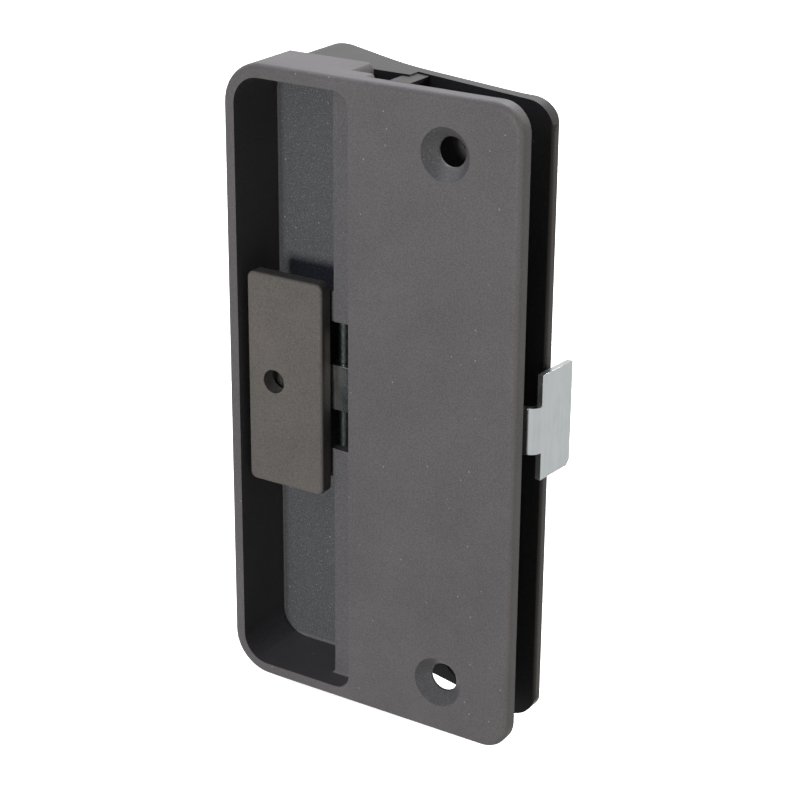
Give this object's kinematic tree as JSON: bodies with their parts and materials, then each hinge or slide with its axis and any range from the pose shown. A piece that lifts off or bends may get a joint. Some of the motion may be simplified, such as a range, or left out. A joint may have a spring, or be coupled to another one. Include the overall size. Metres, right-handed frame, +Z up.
{
  "type": "sliding door latch",
  "caption": "Sliding door latch and pull set with a finger pocket, a thumb lever that rocks a steel hook at the edge, and a ridged outside pull.",
  "frame": {"origin": "midway between the two screw holes, on the rear face of the front plate, where it rests on the door", "axes": "+X from the finger pocket to the hook, +Y along the screw holes into the door, +Z up"},
  "size_m": [0.0605, 0.027, 0.115],
  "materials": {
    "inside_pull": "satin moulded plastic, dark warm grey",
    "outside_pull": "satin moulded plastic, dark warm grey",
    "thumb_button": "satin moulded plastic, dark warm grey",
    "latch_lever": "zinc plated sheet steel",
    "pivot_pin": "plain steel wire",
    "detent_spring": "plain spring steel"
  },
  "bodies": {
    "housing": {"inside_pull": "inside_pull", "outside_pull": "outside_pull", "pivot_pin": "pivot_pin", "detent_spring": "detent_spring"},
    "lever": {"latch_lever": "latch_lever", "thumb_button": "thumb_button"}
  },
  "joints": [
    {"name": "latch_pivot", "type": "hinge", "parent": "housing", "child": "lever", "pos_m": [-0.02385, 0.0042, 0], "axis": [0, 0, 1], "range_deg": [0, 7]}
  ]
}
